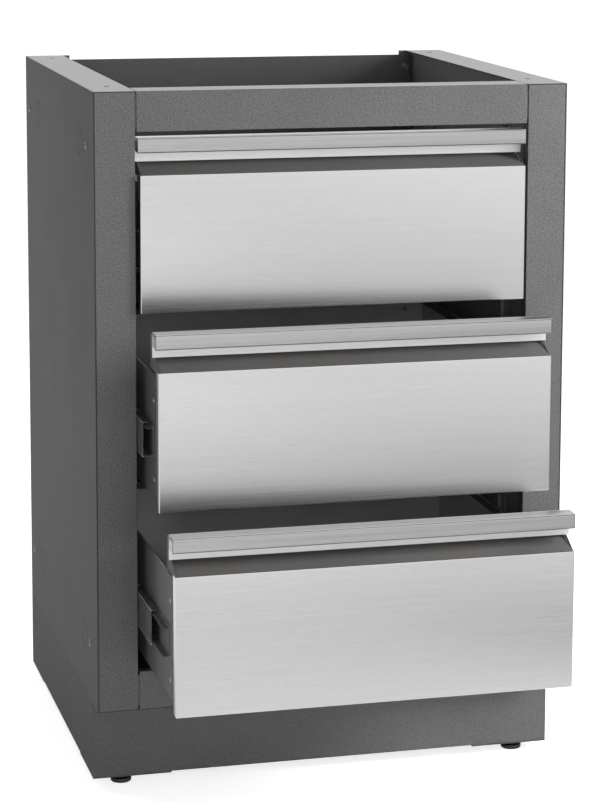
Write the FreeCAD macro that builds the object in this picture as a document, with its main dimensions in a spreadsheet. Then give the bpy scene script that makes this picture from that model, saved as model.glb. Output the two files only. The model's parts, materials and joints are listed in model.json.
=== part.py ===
import FreeCAD, Part
import os
import re

import Sketcher

# Outdoor kitchen drawer unit: a sheet steel carcass on a recessed plinth with four
# levelling feet, and three drawers with brushed fronts on telescopic slides.
# X runs across the front, Y to the back, Z up. The origin is on the floor, under the
# middle of the unit as it stands with its two lower drawers pulled out.

# Driving sizes in millimetres. Each can be changed by itself.
SIZES = {
    # overall
    "width": 610, "depth": 560, "front_height": 218, "front_gap": 7.5,
    "sheet": 1.5, "thin_sheet": 1.2, "seam": 0.3,
    # side panels
    "stile_width": 51, "stile_lip": 18, "top_flange": 52, "rear_flange": 62, "floor_flange": 60,
    "worktop_hole": 8, "worktop_hole_side": 29, "worktop_hole_front": 72, "worktop_hole_rear": 48,
    "side_bolt_front": 52, "side_bolt_rear": 37, "side_bolt_low": 77, "side_bolt_high": 71,
    "knockout": 37, "knockout_slot": 1.2, "knockout_tie": 5,
    "knockout_front": 101, "knockout_rear": 110,
    # liners, posts, back and floor
    "liner_step": 7, "post_width": 40, "post_foot": 14, "post_front": 125, "post_rear": 115,
    "slide_set_in": 1, "back_drop": 6, "back_return": 12, "back_bolt_in": 53,
    "back_bolt_end": 24,
    # front rails
    "rail_height": 50, "rail_depth": 46, "rail_return": 12, "rail_end_gap": 2.2,
    "rail_tab": 18, "rail_lap": 12, "tab_margin": 5, "stud_spread": 12,
    # plinth and feet
    "base_height": 99, "base_setback": 42, "base_flange": 12, "plate_size": 102,
    "plate_sheet": 2, "foot_lift": 15, "foot_side": 40, "foot_in": 24, "foot_across": 27,
    "foot_pad": 6, "foot_waist": 18, "foot_stud": 10, "foot_stud_length": 48,
    "foot_nut": 17, "foot_nut_height": 8, "running_fit": 0.05,
    # drawer fronts
    "front_side_gap": 3.2, "face_proud": 1, "panel_proud": 5.5, "panel_inset": 2,
    "panel_return": 15, "skin": 1, "handle_sheet": 1.5, "handle_face": 19,
    "handle_depth": 23, "handle_tail": 12.5, "pocket_height": 27, "pocket_depth": 48,
    "pocket_top_drop": 8, "pocket_lip": 20,
    # trays and slides
    "tray_room": 75, "tray_height": 154, "tray_rise": 4, "tray_tab": 16, "tab_drop": 3,
    "slide_thickness": 12.7, "slide_height": 52, "carrier_height": 44,
    "runner_height": 36, "slide_rise": 74, "slide_sheet": 1.2, "slide_front": 21,
    "slide_room": 60, "slide_play": 0.5, "slide_lap": 3, "runner_front": 60,
    "runner_room": 100,
    # fasteners
    "bolt": 6, "bolt_head": 10, "bolt_head_height": 2, "bolt_nut": 10, "bolt_nut_height": 5,
    "bolt_spare": 1,
    "screw": 4, "screw_head": 7, "screw_head_height": 1.2, "screw_length": 5,
    "screw_back": 7, "screw_low": 24, "screw_high": 123,
    "stud": 5, "stud_length": 8, "stud_nut": 8, "stud_nut_height": 4,
    "rivet": 4, "rivet_head": 7, "rivet_head_height": 1.2, "rivet_end": 40,
    # how far each drawer stands open at rest
    "open_top": 0, "open_middle": 110, "open_bottom": 208,
}

# Places and sizes worked out from the driving ones.
DERIVED = {
    "half": "width / 2",
    "base_top": "foot_lift + base_height",
    "body_height": "3 * front_height + 4 * front_gap + 2 * rail_height",
    "body_top": "base_top + body_height",
    "opening_half": "half - stile_width",
    "opening_low": "base_top + rail_height",
    "opening_high": "body_top - rail_height",
    "front": "(face_proud + panel_proud + open_bottom - depth) / 2",
    "inside_back": "depth - 2 * sheet",
    "liner_face": "opening_half + liner_step",
    "slide_out": "opening_half + slide_set_in",
    "tray_half": "slide_out - slide_thickness",
    "front_half": "opening_half - front_side_gap",
    "panel_half": "front_half - panel_inset",
    "frame_half": "panel_half - skin",
    "panel_height": "front_height - handle_face - pocket_height",
    "pocket_floor": "panel_height - skin",
    "pocket_top": "front_height - pocket_top_drop",
    "frame_back": "pocket_depth + thin_sheet",
    "tray_length": "depth - tray_room",
    "slide_length": "depth - slide_room",
    "runner_length": "depth - runner_room",
    "bottom_pitch": "front_height + front_gap",
    "side_bolt_z_low": "base_top + side_bolt_low",
    "side_bolt_z_high": "body_top - side_bolt_high",
    "rail_half": "opening_half - rail_end_gap",
    "tab_outer": "opening_half + rail_tab",
    "tab_stud_x": "opening_half + rail_tab / 2",
    "foot_body_height": "foot_lift - plate_sheet - seam",
    "post_front_y": "post_front",
    "post_rear_y": "depth - post_rear",
    "drill": "4 * sheet",
}

WORD = re.compile(r"[a-z][a-z_]*")


def full(text):
    """The expression with every size word pointing at its cell of the sheet."""
    def swap(match):
        word = match.group(0)
        if word in DERIVED:
            return "(" + full(DERIVED[word]) + ")"
        if word in SIZES:
            return "Sizes." + word
        return word
    return WORD.sub(swap, str(text))


doc = FreeCAD.newDocument("drawer_unit")
sheet = doc.addObject("Spreadsheet::Sheet", "Sizes")
for row, (alias, value) in enumerate(SIZES.items(), start=1):
    sheet.set("A%d" % row, alias)
    sheet.set("B%d" % row, str(value))
    sheet.setAlias("B%d" % row, alias)
doc.recompute()

parts = []


def bind(thing, prop, text):
    thing.setExpression(prop, full(text))


def move(thing, x="0", y="0", z="0"):
    """Binds where the piece stands."""
    for axis, text in zip("xyz", (x, y, z)):
        bind(thing, "Placement.Base." + axis, text)
    return thing


def keep(thing, label):
    """Names a finished sub-part and puts it on the list that is written out."""
    thing.Label = label
    parts.append(thing)
    return thing


def box(x, y, z):
    """A box between two places on each axis."""
    thing = doc.addObject("Part::Box", "wall")
    for prop, (low, high) in zip(("Length", "Width", "Height"), (x, y, z)):
        bind(thing, prop, "(%s) - (%s)" % (high, low))
    return move(thing, x[0], y[0], z[0])


TURNS = {
    "x": FreeCAD.Rotation(FreeCAD.Vector(0, 1, 0), 90),
    "-x": FreeCAD.Rotation(FreeCAD.Vector(0, 1, 0), -90),
    "y": FreeCAD.Rotation(FreeCAD.Vector(1, 0, 0), -90),
    "z": FreeCAD.Rotation(),
}


def rod(across, length, place, axis="z"):
    """A round bar that starts at a place and runs along an axis."""
    thing = doc.addObject("Part::Cylinder", "round")
    bind(thing, "Radius", "(%s) / 2" % across)
    bind(thing, "Height", length)
    thing.Placement.Rotation = TURNS[axis]
    return move(thing, *place)


def hexagon(across_flats, length, place, axis="z"):
    """A six-sided bar that starts at a place and runs along an axis."""
    thing = doc.addObject("Part::Prism", "hexagon")
    thing.Polygon = 6
    bind(thing, "Circumradius", "(%s) / 2 / cos(30 deg)" % across_flats)
    bind(thing, "Height", length)
    thing.Placement.Rotation = TURNS[axis]
    return move(thing, *place)


def fuse(pieces):
    thing = doc.addObject("Part::MultiFuse", "joined")
    thing.Shapes = pieces
    thing.Refine = True
    return thing


def cut(base, tools):
    thing = doc.addObject("Part::Cut", "cut")
    thing.Base = base
    thing.Tool = tools[0] if len(tools) == 1 else group(tools)
    thing.Refine = True
    return thing


def group(pieces):
    """Separate solids that share one node."""
    thing = doc.addObject("Part::Compound", "group")
    thing.Links = pieces
    return thing


def mirror(source, normal=(1, 0, 0), base_z="0"):
    """The same piece on the other side of a plane."""
    thing = doc.addObject("Part::Mirroring", "mirrored")
    thing.Source = source
    thing.Normal = FreeCAD.Vector(*normal)
    bind(thing, "Base.z", base_z)
    return thing


def both_sides(pieces):
    return pieces + [mirror(piece) for piece in pieces]


def plane_of(body, role):
    return [item for item in body.Origin.OriginFeatures if item.Role == role][0]


def outline(body, role, points):
    """A closed outline on one of the body's own planes, each corner bound to the sheet."""
    sketch = body.newObject("Sketcher::SketchObject", "outline")
    sketch.AttachmentSupport = [(plane_of(body, role), "")]
    sketch.MapMode = "FlatFace"
    count = len(points)
    corners = [[sheet.evalExpression(full(text)) for text in point] for point in points]
    places = [FreeCAD.Vector(float(x), float(y), 0) for x, y in corners]
    for index in range(count):
        edge = Part.LineSegment(places[index], places[(index + 1) % count])
        sketch.addGeometry(edge, False)
    for index in range(count):
        sketch.addConstraint(
            Sketcher.Constraint("Coincident", index, 2, (index + 1) % count, 1))
    for index, point in enumerate(points):
        for kind, text, value in zip(("DistanceX", "DistanceY"), point, places[index]):
            number = sketch.addConstraint(Sketcher.Constraint(kind, -1, 1, index, 1, value))
            sketch.setExpression("Constraints[%d]" % number, full(text))
    return sketch


def pad(body, sketch, length, side="One side", offset=None):
    """Pads an outline; an offset moves the outline along its own normal first."""
    if offset is not None:
        sketch.setExpression("AttachmentOffset.Base.z", full(offset))
    thing = body.newObject("PartDesign::Pad", "pad")
    thing.Profile = sketch
    thing.SideType = side
    bind(thing, "Length", length)
    sketch.Visibility = False
    return thing


def new_body(name):
    return doc.addObject("PartDesign::Body", name)


def in_drawer(thing, drawer, name):
    """A piece of a drawer, modelled from its handle's face and its panel's bottom edge."""
    move(thing, y=drawer_y(drawer), z=DRAWERS[drawer][0])
    return keep(thing, "drawer_%s_%s" % (drawer, name))


def in_place(thing, label):
    """A fixed piece of the carcass, modelled from the stiles' front plane."""
    return keep(move(thing, y="front"), label)


def both_in_place(right, name):
    """A carcass piece for each side: the right one and its mirror image."""
    in_place(right, name + "_right")
    keep(mirror(right), name + "_left")


def knockout(y, z):
    """A round blank held by four ties: a ring slot cut through the side wall."""
    place = ("half - drill / 2", y, z)
    ring = cut(rod("knockout", "drill", place, "x"),
               [rod("knockout - 2 * knockout_slot", "drill", place, "x")])
    x = ("half - drill", "half + drill")
    narrow, wide = "(knockout_tie / 2)", "knockout"
    ties = [box(x, (y + " - " + deep, y + " + " + deep), (z + " - " + high, z + " + " + high))
            for deep, high in ((narrow, wide), (wide, narrow))]
    return cut(ring, [fuse(ties)])


SIDE_BOLTS = [(y, z) for y in ("side_bolt_front", "(depth - side_bolt_rear)")
              for z in ("side_bolt_z_low", "side_bolt_z_high")]
KNOCKOUTS = [(y, z) for y in ("knockout_front", "(depth - knockout_rear)")
             for z in ("side_bolt_z_low", "side_bolt_z_high")]
RAIL_MIDDLES = ("(base_top + rail_height / 2)", "(body_top - rail_height / 2)")
BACK_BOLT_Z = ("(base_top + back_bolt_end)", "((base_top + body_top) / 2)",
               "(body_top - back_bolt_end)")


def side_panels():
    """Each side: one folded sheet with stile, lip, top, floor and rear flanges."""
    skin = box(("half - sheet", "half"), ("0", "depth"), ("base_top", "body_top"))
    stile = box(("opening_half", "half"), ("0", "sheet"), ("base_top", "body_top"))
    lip = box(("opening_half", "opening_half + sheet"), ("0", "stile_lip"),
              ("opening_low", "opening_high"))
    top = box(("half - top_flange", "half"), ("0", "depth"), ("body_top - sheet", "body_top"))
    rear = box(("half - rear_flange", "half"), ("depth - sheet", "depth"), ("base_top", "body_top"))
    floor = box(("half - floor_flange", "half"), ("rail_depth + seam", "depth"),
                ("base_top", "base_top + sheet"))
    studs = [rod("stud", "stud_length + sheet / 2", ("tab_stud_x", "sheet / 2", middle + spread), "y")
             for middle in RAIL_MIDDLES for spread in (" - stud_spread", " + stud_spread")]
    holes = [rod("bolt + 2 * running_fit", "drill", ("half - drill / 2", y, z), "x")
             for y, z in SIDE_BOLTS]
    holes += [knockout(y, z) for y, z in KNOCKOUTS]
    holes += [rod("worktop_hole", "drill", ("half - worktop_hole_side", y, "body_top - drill / 2"))
              for y in ("worktop_hole_front", "depth - worktop_hole_rear")]
    holes += [rod("bolt + 2 * running_fit", "drill",
                  ("half - back_bolt_in", "depth - drill / 2", z), "y") for z in BACK_BOLT_Z]
    panel = cut(fuse([skin, stile, lip, top, rear, floor] + studs), holes)
    both_in_place(panel, "side_panel")


def front_rails():
    """Two folded rails between the stiles, held by tabs on welded studs."""
    body = new_body("rail_fold")
    section = outline(body, "YZ_Plane", [
        ("0", "0"), ("rail_depth", "0"), ("rail_depth", "-sheet"), ("sheet", "-sheet"),
        ("sheet", "sheet - rail_height"), ("rail_return", "sheet - rail_height"),
        ("rail_return", "-rail_height"), ("0", "-rail_height")])
    pad(body, section, "2 * rail_half", "Symmetric")
    tab = cut(
        box(("rail_half - rail_lap", "tab_outer"), ("sheet", "2 * sheet"),
            ("tab_margin - rail_height", "-tab_margin")),
        [rod("stud + 2 * running_fit", "2 * sheet", ("tab_stud_x", "sheet / 2", z), "y")
         for z in ("-rail_height / 2 - stud_spread", "-rail_height / 2 + stud_spread")])
    rail = fuse([body] + both_sides([tab]))
    keep(move(rail, y="front", z="body_top"), "top_rail")
    keep(mirror(rail, (0, 0, 1), "(base_top + body_top) / 2"), "bottom_rail")


def liners():
    """The inner side walls, and the pressed posts on them that carry the slides."""
    wall = box(("liner_face", "liner_face + thin_sheet"), ("stile_lip + seam", "inside_back"),
               ("base_top + sheet", "body_top - sheet"))
    both_in_place(group([wall]), "side_liner")
    posts = []
    for y in ("post_front_y", "post_rear_y"):
        low, high = "(%s - post_width / 2)" % y, "(%s + post_width / 2)" % y
        z = ("opening_low", "opening_high")
        web = box(("slide_out", "slide_out + thin_sheet"), (low, high), z)
        sides = [box(("slide_out", "liner_face"), (start, start + " + thin_sheet"), z)
                 for start in (low, high + " - thin_sheet")]
        feet = [box(("liner_face - thin_sheet", "liner_face"), span, z)
                for span in ((low + " - post_foot", low + " + thin_sheet"),
                             (high + " - thin_sheet", high + " + post_foot"))]
        holes = [rod("rivet + 2 * running_fit", "drill", ("slide_out - drill / 2", y, slide_z(drawer)), "x")
                 for drawer in DRAWERS]
        posts.append(cut(fuse([web] + sides + feet), holes))
    both_in_place(group(posts), "slide_posts")


def back_and_floor():
    """The back sheet, in front of the rear flanges, and the floor on the floor flanges."""
    high = ("base_top + 2 * sheet", "body_top - back_drop")
    back = box(("seam - liner_face", "liner_face - seam"), ("inside_back", "depth - sheet"), high)
    fold = box(("liner_face - seam - sheet", "liner_face - seam"),
               ("inside_back - back_return", "depth - sheet"), high)
    holes = [rod("bolt + 2 * running_fit", "drill", (x, "depth - drill", z), "y")
             for x in ("half - back_bolt_in", "back_bolt_in - half") for z in BACK_BOLT_Z]
    in_place(cut(fuse([back] + both_sides([fold])), holes), "back_panel")
    floor = box(("seam - liner_face", "liner_face - seam"), ("rail_depth - rail_return", "inside_back"),
                ("base_top + sheet", "base_top + 2 * sheet"))
    in_place(group([floor]), "floor_panel")


def plinth():
    """Four folded plates under the carcass, the front one set back as a toe recess."""
    front_y, rear_y = "base_setback", "depth"
    inner = "half - sheet"
    flats = (("foot_lift", "foot_lift + sheet"), ("base_top - sheet", "base_top"))
    across = ("sheet - half", inner)
    z = ("foot_lift", "base_top")
    in_place(fuse([box(("-half", "half"), (front_y, front_y + " + sheet"), z)]
                  + [box(across, (front_y, front_y + " + sheet + base_flange"), flat) for flat in flats]),
             "plinth_front")
    in_place(fuse([box(("-half", "half"), (rear_y + " - sheet", rear_y), z)]
                  + [box(across, (rear_y + " - sheet - base_flange", rear_y), flat) for flat in flats]),
             "plinth_rear")
    start = "(base_setback + sheet)"
    end = "(depth - sheet)"
    side = fuse([box((inner, "half"), (start, end), z)]
                + [box((inner + " - base_flange", "half"),
                       (start + " + base_flange + seam", end + " - base_flange - seam"), flat)
                   for flat in flats])
    both_in_place(side, "plinth_side")


FOOT_PLACES = {"front": "(base_setback + foot_in)", "rear": "(depth - foot_in)"}


def foot_plates():
    """Corner plates under the plinth, each with a welded nut for its levelling foot."""
    plates = []
    for y, span in ((FOOT_PLACES["front"], ("base_setback", "base_setback + plate_size")),
                    (FOOT_PLACES["rear"], ("depth - plate_size", "depth"))):
        plate = box(("half - plate_size", "half"), span, ("foot_lift - plate_sheet", "foot_lift"))
        nut = hexagon("foot_nut", "foot_nut_height", ("half - foot_side", y, "foot_lift"))
        bore = rod("foot_stud + 2 * running_fit", "foot_nut_height + 4 * plate_sheet",
                   ("half - foot_side", y, "foot_lift - 2 * plate_sheet"))
        plates.append(cut(fuse([plate, nut]), [bore]))
    in_place(group(both_sides(plates)), "foot_plates")


def feet():
    """Four levelling feet: a pad, a waist and a threaded stud."""
    for end, y in FOOT_PLACES.items():
        foot = fuse([
            rod("foot_across", "foot_pad", ("half - foot_side", y, "0")),
            rod("foot_waist", "foot_body_height", ("half - foot_side", y, "0")),
            rod("foot_stud", "foot_body_height + foot_stud_length", ("half - foot_side", y, "0")),
        ])
        both_in_place(foot, "foot_" + end)


DRAWERS = {
    "top": ("opening_low + front_gap + 2 * bottom_pitch", "open_top"),
    "middle": ("opening_low + front_gap + bottom_pitch", "open_middle"),
    "bottom": ("opening_low + front_gap", "open_bottom"),
}


SCREW_Z = ("tray_rise + screw_low", "tray_rise + screw_high")
SCREW_Y = "frame_back + screw_back"
RIVET_Y = tuple("runner_front + " + place for place in (
    "rivet_end", "runner_length / 2", "runner_length - rivet_end"))


def side_holes(across, wall, places):
    """Clearance holes through the walls on both sides of a drawer."""
    return both_sides([
        rod(across + " + 2 * running_fit", "2 * drill", (wall + " - drill", y, z), "x")
        for y, z in places])


def slide_z(drawer):
    return DRAWERS[drawer][0] + " + slide_rise"


def drawer_y(drawer):
    """Where a drawer's handle face stands."""
    return "front - face_proud - " + DRAWERS[drawer][1]


def drawer_panel(drawer):
    """The brushed skin of a drawer front: a shallow pan, open at the back."""
    body = new_body("panel_pan")
    edge = outline(body, "XZ_Plane", [
        ("-panel_half", "0"), ("panel_half", "0"),
        ("panel_half", "panel_height"), ("-panel_half", "panel_height")])
    pad(body, edge, "panel_return", offset="panel_proud - panel_return")
    hollow = outline(body, "XZ_Plane", [
        ("-frame_half", "skin"), ("frame_half", "skin"),
        ("frame_half", "pocket_floor"), ("-frame_half", "pocket_floor")])
    hollow.setExpression("AttachmentOffset.Base.z", full("panel_proud - panel_return"))
    pocket = body.newObject("PartDesign::Pocket", "hollow")
    pocket.Profile = hollow
    pocket.Reversed = True
    bind(pocket, "Length", "panel_return - skin")
    hollow.Visibility = False
    in_drawer(body, drawer, "panel")


def drawer_handle(drawer):
    """The full-width pull: face, top and a longer back leg, with closed ends."""
    body = new_body("handle_fold")
    high, face_low = "front_height", "front_height - handle_face"
    leg_low = face_low + " - handle_tail"
    section = outline(body, "YZ_Plane", [
        ("0", face_low), ("handle_sheet", face_low), ("handle_sheet", high + " - handle_sheet"),
        ("handle_depth - handle_sheet", high + " - handle_sheet"),
        ("handle_depth - handle_sheet", leg_low), ("handle_depth", leg_low),
        ("handle_depth", high), ("0", high)])
    pad(body, section, "2 * front_half", "Symmetric")
    for end in ("front_half - handle_sheet", "-front_half"):
        cap = outline(body, "YZ_Plane", [
            ("0", face_low), ("handle_depth", face_low), ("handle_depth", high), ("0", high)])
        pad(body, cap, "handle_sheet", offset=end)
    in_drawer(body, drawer, "handle")


def drawer_frame(drawer):
    """The folded box behind a front: back wall, finger pocket and slanted pocket ends."""
    body = new_body("frame_fold")
    near, far, back = "skin - panel_proud", "pocket_depth", "frame_back"
    low, shelf, top = "skin", "pocket_floor - thin_sheet", "pocket_top"
    leg, leg_low = "handle_depth", "front_height - handle_face - handle_tail"
    return_end = "panel_return - panel_proud"
    wall = outline(body, "XZ_Plane", [
        ("-tray_half", low), ("tray_half", low), ("tray_half", shelf), ("frame_half", shelf),
        ("frame_half", top), ("-frame_half", top), ("-frame_half", shelf), ("-tray_half", shelf)])
    pad(body, wall, "thin_sheet", offset="-frame_back")
    ledge = outline(body, "YZ_Plane", [
        (near, shelf), (far, shelf), (far, "pocket_floor"), (near, "pocket_floor")])
    pad(body, ledge, "2 * frame_half", "Symmetric")
    base = outline(body, "YZ_Plane", [
        (near, low), (far, low), (far, low + " + thin_sheet"), (near, low + " + thin_sheet")])
    pad(body, base, "2 * tray_half", "Symmetric")
    roof = outline(body, "YZ_Plane", [
        (leg, top), (leg, top + " - pocket_lip"), (leg + " + thin_sheet", top + " - pocket_lip"),
        (leg + " + thin_sheet", top + " - thin_sheet"), (far, top + " - thin_sheet"), (far, top)])
    pad(body, roof, "2 * frame_half", "Symmetric")
    for start in ("tray_half - thin_sheet", "-tray_half"):
        side = outline(body, "YZ_Plane", [(near, low), (far, low), (far, shelf), (near, shelf)])
        pad(body, side, "thin_sheet", offset=start)
    for start in ("frame_half - thin_sheet", "-frame_half"):
        cheek = outline(body, "YZ_Plane", [
            (near, "panel_height"), (return_end, "panel_height"), (return_end, "pocket_floor"),
            (far, "pocket_floor"), (far, top), (leg, top), (leg, leg_low)])
        pad(body, cheek, "thin_sheet", offset=start)
    tab_low, tab_high = "tray_rise + thin_sheet + tab_drop", "tray_rise + tray_height - tab_drop"
    for start in ("tray_half - 2 * thin_sheet", "thin_sheet - tray_half"):
        tab = outline(body, "YZ_Plane", [
            (far, tab_low), (back + " + tray_tab", tab_low),
            (back + " + tray_tab", tab_high), (far, tab_high)])
        pad(body, tab, "thin_sheet", offset=start)
    in_drawer(cut(body, side_holes("screw", "tray_half", [(SCREW_Y, z) for z in SCREW_Z])),
              drawer, "frame")


def drawer_tray(drawer):
    """The tray of a drawer: floor, sides and back, closed at the front by the frame."""
    body = new_body("tray_fold")
    start, end = "frame_back", "frame_back + tray_length"
    floor = outline(body, "XY_Plane", [
        ("-tray_half", start), ("tray_half", start), ("tray_half", end), ("-tray_half", end)])
    pad(body, floor, "tray_height", offset="tray_rise")
    inside = outline(body, "XY_Plane", [
        ("thin_sheet - tray_half", start + " - thin_sheet"),
        ("tray_half - thin_sheet", start + " - thin_sheet"),
        ("tray_half - thin_sheet", end + " - thin_sheet"),
        ("thin_sheet - tray_half", end + " - thin_sheet")])
    inside.setExpression("AttachmentOffset.Base.z", full("tray_rise + thin_sheet"))
    pocket = body.newObject("PartDesign::Pocket", "inside")
    pocket.Profile = inside
    pocket.Reversed = True
    bind(pocket, "Length", "tray_height")
    inside.Visibility = False
    holes = side_holes("screw", "tray_half", [(SCREW_Y, z) for z in SCREW_Z])
    holes += side_holes("rivet", "tray_half", [(y, "slide_rise") for y in RIVET_Y])
    in_drawer(cut(body, holes), drawer, "tray")


def slide(drawer):
    """A telescopic slide on each side of a drawer: fixed rail, carrier and runner."""
    low_z, opened = DRAWERS[drawer]
    z = low_z + " + slide_rise"
    play = "slide_sheet + slide_play"
    members = {
        "fixed": ("slide_out", "slide_out - slide_sheet", "tray_half + slide_lap",
                  "slide_height", "slide_front", "slide_length", "0"),
        "carrier": ("slide_out - (%s)" % play, "slide_out - (%s) - slide_sheet" % play,
                   "tray_half + slide_lap", "carrier_height", "slide_front",
                   "slide_length", "(%s) / 2" % opened),
        "runner": ("tray_half", "tray_half + slide_sheet", "slide_out - 2 * (%s)" % play,
                  "runner_height", "runner_front - face_proud", "runner_length",
                  opened),
    }
    for name, (web, web_inside, tip, height, start, length, out) in members.items():
        body = new_body(name)
        top, thick = "(%s) / 2" % height, "slide_sheet"
        section = outline(body, "XZ_Plane", [
            (web, "-" + top), (tip, "-" + top), (tip, "%s - %s" % (thick, top)),
            (web_inside, "%s - %s" % (thick, top)), (web_inside, "%s - %s" % (top, thick)),
            (tip, "%s - %s" % (top, thick)), (tip, top), (web, top)])
        pad(body, section, length, offset="-(%s) - (%s)" % (start, length))
        if name == "fixed":
            holes = [rod("rivet + 2 * running_fit", "drill", ("slide_out - drill / 2", y, "0"), "x")
                     for y in ("post_front_y", "post_rear_y")]
            body = cut(body, holes)
        if name == "runner":
            holes = [rod("rivet + 2 * running_fit", "drill",
                         ("tray_half - drill / 2", y + " - face_proud", "0"), "x")
                     for y in RIVET_Y]
            body = cut(body, holes)
        move(body, y="front - (%s)" % out, z=z)
        keep(body, "slide_%s_%s_right" % (drawer, name))
        keep(mirror(body), "slide_%s_%s_left" % (drawer, name))


def bolt(across, length, head, head_height, place, axis):
    """A bolt or rivet: the shank starts at the place and the head lies behind it."""
    step = {"x": (1, 0, 0), "-x": (-1, 0, 0), "y": (0, 1, 0)}[axis]
    behind = tuple("%s - %d * (%s)" % (text, sign, head_height)
                   for text, sign in zip(place, step))
    return fuse([rod(across, length, place, axis), rod(head, head_height, behind, axis)])


def ring_nut(across, length, bore, place, axis):
    """A six-sided nut that starts at the place."""
    outer = hexagon(across, length, place, axis)
    return cut(outer, [rod(bore + " + 2 * running_fit", length, place, axis)])


def carcass_fasteners():
    """Bolts in the sides and back, nuts on the rails' studs, rivets under the slides."""
    bolts = [bolt("bolt", "sheet + bolt_nut_height + bolt_spare", "bolt_head", "bolt_head_height",
                  ("half", y, z), "-x") for y, z in SIDE_BOLTS]
    nuts = [ring_nut("bolt_nut", "bolt_nut_height", "bolt", ("half - sheet", y, z), "-x")
            for y, z in SIDE_BOLTS]
    in_place(group(both_sides(bolts)), "side_bolts")
    in_place(group(both_sides(nuts)), "side_nuts")
    back = [bolt("bolt", "2 * sheet", "bolt_head", "bolt_head_height",
                 ("half - back_bolt_in", "inside_back", z), "y") for z in BACK_BOLT_Z]
    in_place(group(both_sides(back)), "back_bolts")
    rail = [ring_nut("stud_nut", "stud_nut_height", "stud", ("tab_stud_x", "2 * sheet", z + spread), "y")
            for z in RAIL_MIDDLES for spread in (" - stud_spread", " + stud_spread")]
    in_place(group(both_sides(rail)), "rail_nuts")
    rivets = [bolt("rivet", "slide_sheet + thin_sheet", "rivet_head", "rivet_head_height",
                   ("slide_out + thin_sheet", y, slide_z(name)), "-x")
              for name in DRAWERS for y in ("post_front_y", "post_rear_y")]
    in_place(group(both_sides(rivets)), "slide_rivets")


def drawer_fasteners(drawer):
    """Screws from the tray into the frame's tabs, rivets from the slides into the tray."""
    screws = [bolt("screw", "screw_length", "screw_head", "screw_head_height",
                   ("tray_half", SCREW_Y, z), "-x") for z in SCREW_Z]
    rivets = [bolt("rivet", "slide_sheet + thin_sheet", "rivet_head", "rivet_head_height",
                   ("tray_half - thin_sheet", y, "slide_rise"), "x") for y in RIVET_Y]
    in_drawer(group(both_sides(screws + rivets)), drawer, "fasteners")


side_panels()
front_rails()
liners()
back_and_floor()
plinth()
foot_plates()
feet()
for name in DRAWERS:
    drawer_panel(name)
    drawer_handle(name)
    drawer_frame(name)
    drawer_tray(name)
    slide(name)
    drawer_fasteners(name)
carcass_fasteners()

doc.recompute()
for item in doc.Objects:
    if "Invalid" in item.State or "Error" in item.State:
        raise RuntimeError("%s (%s) did not build: %s" % (item.Name, item.Label, item.State))
for item in parts:
    if item.Shape.isNull() or not item.Shape.isValid():
        raise RuntimeError(item.Label + " has no valid shape")
os.makedirs("parts", exist_ok=True)
for item in parts:
    item.Shape.exportStep("parts/%s.step" % item.Label)
    print("%-24s %2d solids %12.1f mm3" % (item.Label, len(item.Shape.Solids), item.Shape.Volume))
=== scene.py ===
import json
import math

import bmesh
import bpy
from mathutils import Matrix, Vector


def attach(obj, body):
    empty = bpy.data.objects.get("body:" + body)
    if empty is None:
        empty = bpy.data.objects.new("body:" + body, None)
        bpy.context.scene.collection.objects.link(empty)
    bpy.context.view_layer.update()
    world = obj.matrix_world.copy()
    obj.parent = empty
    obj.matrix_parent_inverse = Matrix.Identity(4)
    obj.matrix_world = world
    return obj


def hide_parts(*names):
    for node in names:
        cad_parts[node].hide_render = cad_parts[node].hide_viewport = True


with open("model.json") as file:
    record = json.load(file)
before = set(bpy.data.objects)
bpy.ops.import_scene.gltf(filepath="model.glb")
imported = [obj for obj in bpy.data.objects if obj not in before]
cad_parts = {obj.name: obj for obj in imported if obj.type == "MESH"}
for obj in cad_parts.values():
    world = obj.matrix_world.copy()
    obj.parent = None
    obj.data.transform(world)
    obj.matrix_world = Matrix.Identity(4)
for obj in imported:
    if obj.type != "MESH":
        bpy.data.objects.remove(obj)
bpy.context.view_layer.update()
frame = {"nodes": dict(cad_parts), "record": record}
nodes = frame["nodes"]

MM = 0.001
WHITE = (1.0, 1.0, 1.0, 1.0)


# The camera stands in front of the unit and a little to its left. Angles are in degrees.

YAW, PITCH, ROLL = 15.436, -8.63, 0.378
CAMERA_PLACE = (-0.8596, -3.4243, 1.2054)
CAMERA_SHIFT = (-0.08, -0.19)
SENSOR_WIDTH = 36.0
FOCAL_PIXELS = 2708.0
FRAME_PIXELS = 803.0


def make_camera():
    yaw, pitch, roll = (math.radians(angle) for angle in (YAW, PITCH, ROLL))
    ahead = Vector((math.sin(yaw) * math.cos(pitch), math.cos(yaw) * math.cos(pitch),
                    math.sin(pitch)))
    level = Vector((math.cos(yaw), -math.sin(yaw), 0.0))
    raised = level.cross(ahead)
    right = level * math.cos(roll) + raised * math.sin(roll)
    up = raised * math.cos(roll) - level * math.sin(roll)
    data = bpy.data.cameras.new("camera")
    data.sensor_width = SENSOR_WIDTH
    data.lens = FOCAL_PIXELS / FRAME_PIXELS * SENSOR_WIDTH
    data.shift_x, data.shift_y = CAMERA_SHIFT
    camera = bpy.data.objects.new("camera", data)
    turn = Matrix((right, up, -ahead)).transposed()
    camera.matrix_world = Matrix.Translation(CAMERA_PLACE) @ turn.to_4x4()
    bpy.context.scene.collection.objects.link(camera)
    bpy.context.scene.camera = camera


# Shader nodes. Texture coordinates are metres on the object itself.

NOISE_LOW, NOISE_HIGH = 0.3, 0.7
EDGE_SAMPLES = 4


def add(tree, kind, values=None, **settings):
    """A shader node with some of its inputs set and some of its settings."""
    made = tree.nodes.new(kind)
    for key, value in settings.items():
        setattr(made, key, value)
    for key, value in (values or {}).items():
        made.inputs[key].default_value = value
    return made


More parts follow.
